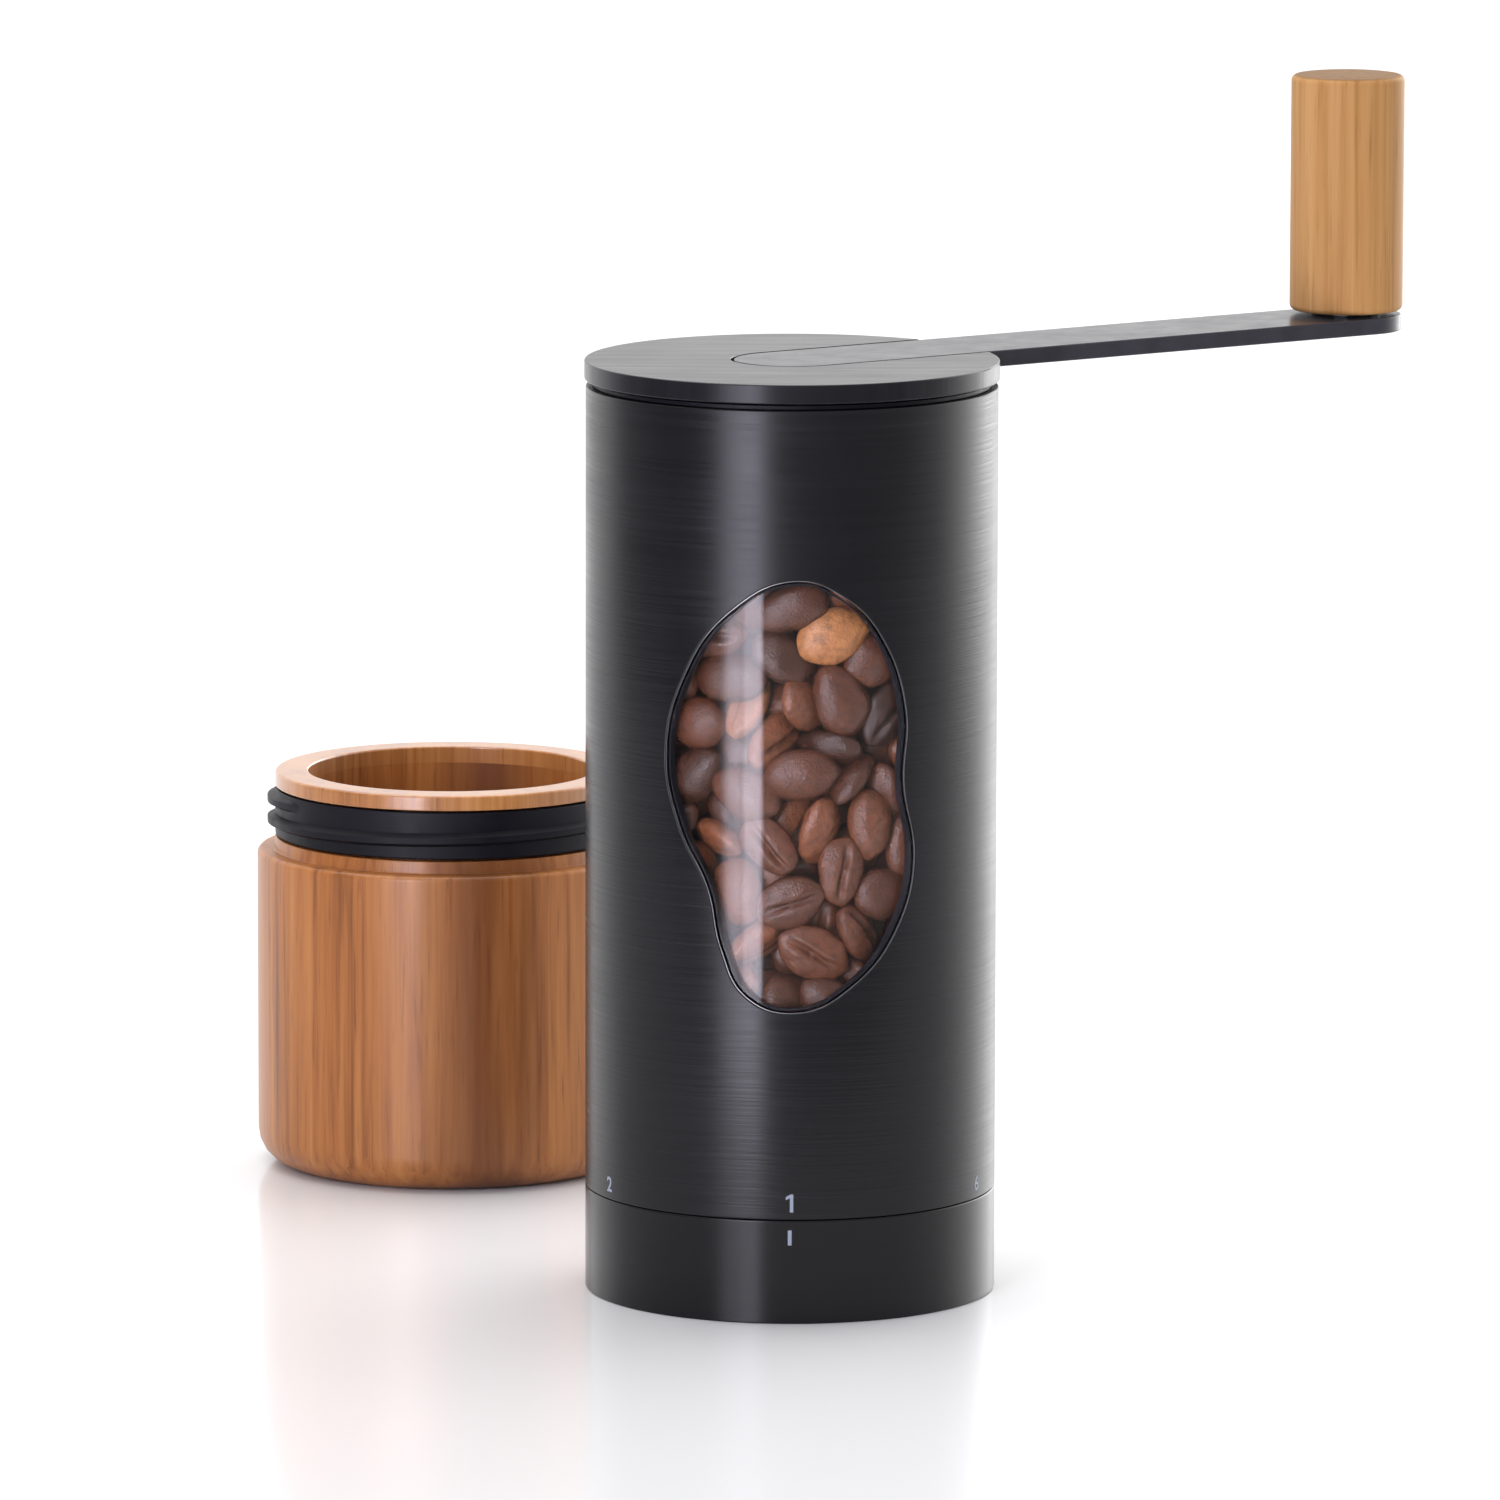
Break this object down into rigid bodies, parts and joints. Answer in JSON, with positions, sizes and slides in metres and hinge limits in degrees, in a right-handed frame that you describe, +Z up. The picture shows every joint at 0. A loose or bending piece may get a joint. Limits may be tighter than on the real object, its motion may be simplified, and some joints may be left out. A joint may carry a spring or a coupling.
{
  "type": "hand crank coffee grinder",
  "caption": "Hand crank coffee grinder: round steel body with a curved bean window, lid with a let-in crank arm and wooden knob, adjusting ring, and a wooden jar with a threaded collar.",
  "frame": {"origin": "on the table under the middle of the box round the grinder, its crank and its jar", "axes": "+Z up the grinder; -Y is the front, with the window and the number 1; +X to the right seen from the front"},
  "size_m": [0.1734, 0.157, 0.1726],
  "materials": {
    "black_steel": "satin black, finely brushed",
    "bright_steel": "bright turned steel",
    "spring_steel": "bright spring steel",
    "burr_steel": "ground hardened steel",
    "brass": "turned brass",
    "bronze": "sintered bronze",
    "black_plastic": "moulded black plastic",
    "thread_plastic": "black threaded collar, matt",
    "clear_plastic": "clear, glossy",
    "acacia_wood": "turned acacia, satin, upright grain",
    "pale_acacia_wood": "pale turned acacia",
    "knob_wood": "light acacia, upright grain",
    "roasted_coffee": "roasted coffee beans"
  },
  "bodies": {
    "housing": {"body_tube": "black_steel", "window_pane": "clear_plastic", "top_collar": "black_plastic", "top_bridge": "black_plastic", "upper_bush": "bronze", "coffee_beans": "roasted_coffee", "hopper_funnel": "black_plastic", "lower_bridge": "burr_steel", "lower_bush": "bronze", "bridge_screw_1": "bright_steel", "bridge_screw_2": "bright_steel", "bridge_screw_3": "bright_steel", "burr_housing": "black_plastic"},
    "ring": {"adjusting_ring": "black_steel", "adjusting_nut": "brass", "ring_clip": "spring_steel"},
    "carrier": {"burr_carrier": "brass", "outer_burr": "burr_steel"},
    "shaft": {"drive_shaft": "bright_steel", "shaft_clip": "spring_steel", "preload_spring": "spring_steel", "inner_burr": "burr_steel", "burr_washer": "bright_steel", "burr_nut": "brass"},
    "lid": {"lid_plate": "black_steel", "lid_hub": "black_plastic", "crank_arm": "black_steel", "arm_screw_1": "bright_steel", "arm_screw_2": "bright_steel", "lid_screw_1": "bright_steel", "lid_screw_2": "bright_steel", "lid_screw_3": "bright_steel", "knob_axle": "bright_steel", "axle_clip": "spring_steel", "knob_washer": "black_plastic"},
    "knob": {"knob_grip": "knob_wood", "knob_insert": "brass"},
    "jar": {"jar_cup": "acacia_wood", "thread_collar": "thread_plastic", "jar_rim": "pale_acacia_wood"}
  },
  "joints": [
    {"name": "crank_turn", "type": "hinge", "parent": "housing", "child": "shaft", "pos_m": [-0.00461, -0.04827, 0.08], "axis": [0, 0, 1], "continuous": true},
    {"name": "lid_lift", "type": "slide", "parent": "shaft", "child": "lid", "axis": [0, 0, 1], "range_m": [0, 0.03]},
    {"name": "knob_spin", "type": "hinge", "parent": "lid", "child": "knob", "pos_m": [0.07821, 0.00865, 0.155], "axis": [0, 0, 1], "continuous": true},
    {"name": "ring_turn", "type": "hinge", "parent": "housing", "child": "ring", "pos_m": [-0.00461, -0.04827, 0.0075], "axis": [0, 0, 1], "range_deg": [-300, 0]},
    {"name": "burr_travel", "type": "slide", "parent": "housing", "child": "carrier", "axis": [0, 0, 1], "range_m": [0, 0.00125]},
    {"name": "jar_lift", "type": "slide", "parent": "housing", "child": "jar", "axis": [0, 0, 1], "range_m": [0, 0.1]}
  ],
  "couplings": [
    {"joint": "burr_travel", "follows": "ring_turn", "m_per_rad": -0.00023873}
  ]
}
